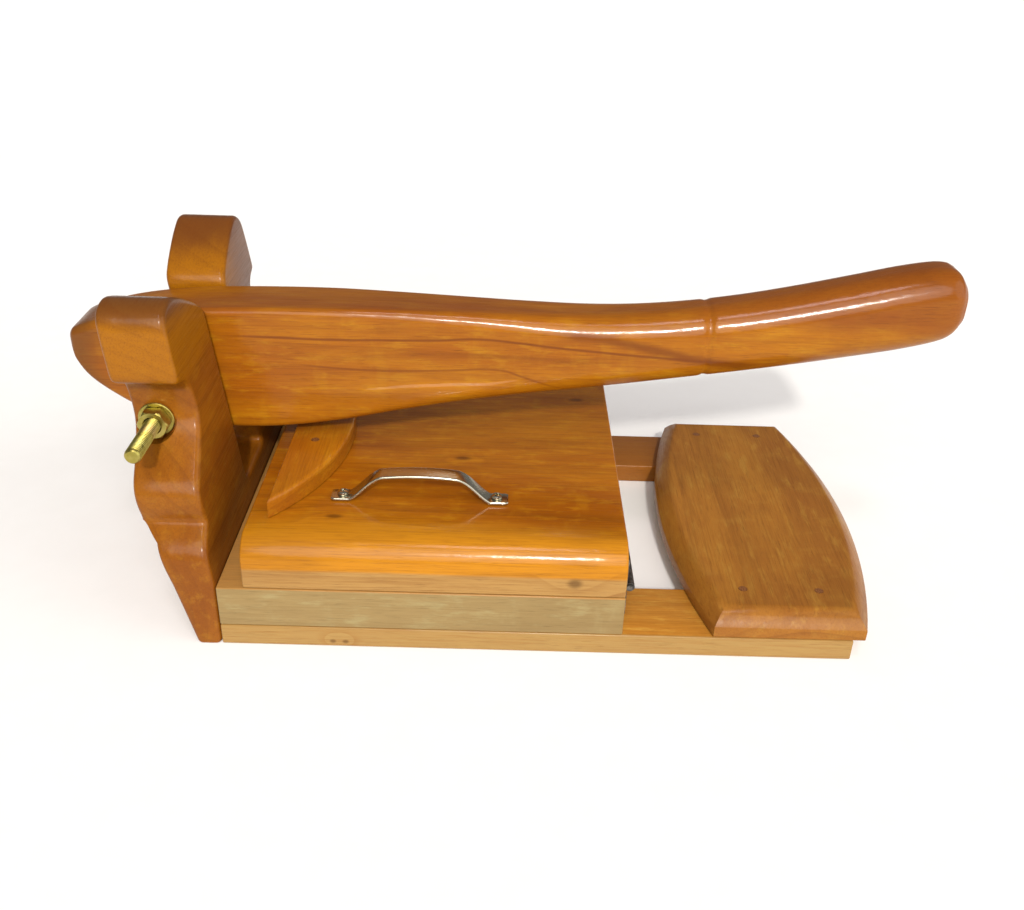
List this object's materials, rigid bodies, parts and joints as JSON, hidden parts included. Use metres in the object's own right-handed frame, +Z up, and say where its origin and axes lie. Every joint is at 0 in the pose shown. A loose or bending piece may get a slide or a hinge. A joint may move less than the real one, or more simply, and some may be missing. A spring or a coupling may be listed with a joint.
{
  "type": "wooden lever press",
  "caption": "Wooden hand press: a thick hinged lid on a bed and two rails, squeezed by a long carved lever that pivots on a bolt in a notched upright.",
  "frame": {"origin": "on the ground at the middle of the whole press", "axes": "+X along the lever towards its handle, +Y from the front to the back, +Z up"},
  "size_m": [0.578, 0.264, 0.2175],
  "materials": {
    "bed_wood": "pale varnished hardwood",
    "rail_wood": "varnished hardwood",
    "board_wood": "brown varnished hardwood",
    "yoke_wood": "glossy red-brown varnish",
    "lever_wood": "glossy golden varnish",
    "lid_wood": "glossy golden varnish",
    "peg_wood": "dark end grain",
    "dark_steel": "dark steel",
    "stainless_steel": "brushed stainless",
    "yellow_zinc": "yellow zinc plate"
  },
  "bodies": {
    "base": {"far_washer": "yellow_zinc", "front_board_peg_1": "peg_wood", "front_board_peg_2": "peg_wood", "front_rail": "rail_wood", "front_rail_screw_1": "dark_steel", "front_rail_screw_2": "dark_steel", "hinge_1_bed_leaf": "dark_steel", "hinge_1_bed_screw_1": "dark_steel", "hinge_1_bed_screw_2": "dark_steel", "hinge_1_pin": "dark_steel", "hinge_2_bed_leaf": "dark_steel", "hinge_2_bed_screw_1": "dark_steel", "hinge_2_bed_screw_2": "dark_steel", "hinge_2_pin": "dark_steel", "near_washer": "yellow_zinc", "pivot_bolt": "yellow_zinc", "pivot_nut": "yellow_zinc", "press_bed": "bed_wood", "rear_board_peg_1": "peg_wood", "rear_board_peg_2": "peg_wood", "rear_rail": "rail_wood", "rear_rail_screw_1": "dark_steel", "rear_rail_screw_2": "dark_steel", "rest_board": "board_wood", "yoke": "yoke_wood", "yoke_screw_1": "dark_steel", "yoke_screw_2": "dark_steel", "yoke_screw_3": "dark_steel", "yoke_screw_4": "dark_steel"},
    "lever": {"lever": "lever_wood"},
    "lid": {"hinge_1_lid_leaf": "dark_steel", "hinge_1_lid_screw_1": "dark_steel", "hinge_1_lid_screw_2": "dark_steel", "hinge_2_lid_leaf": "dark_steel", "hinge_2_lid_screw_1": "dark_steel", "hinge_2_lid_screw_2": "dark_steel", "left_handle_screw": "stainless_steel", "lid": "lid_wood", "lid_handle": "stainless_steel", "right_handle_screw": "stainless_steel", "striker_block": "lid_wood", "striker_peg_1": "peg_wood", "striker_peg_2": "peg_wood"}
  },
  "joints": [
    {"name": "lever_pivot", "type": "hinge", "parent": "base", "child": "lever", "pos_m": [-0.2165, 0, 0.134], "axis": [0, -1, 0], "range_deg": [0, 95]},
    {"name": "lid_hinge", "type": "hinge", "parent": "base", "child": "lid", "pos_m": [0.0764, 0, 0.04355], "axis": [0, 1, 0], "range_deg": [0, 36.5]}
  ],
  "couplings": [
    {"joint": "lid_hinge", "follows": "lever_pivot", "ratio": 0.38}
  ]
}
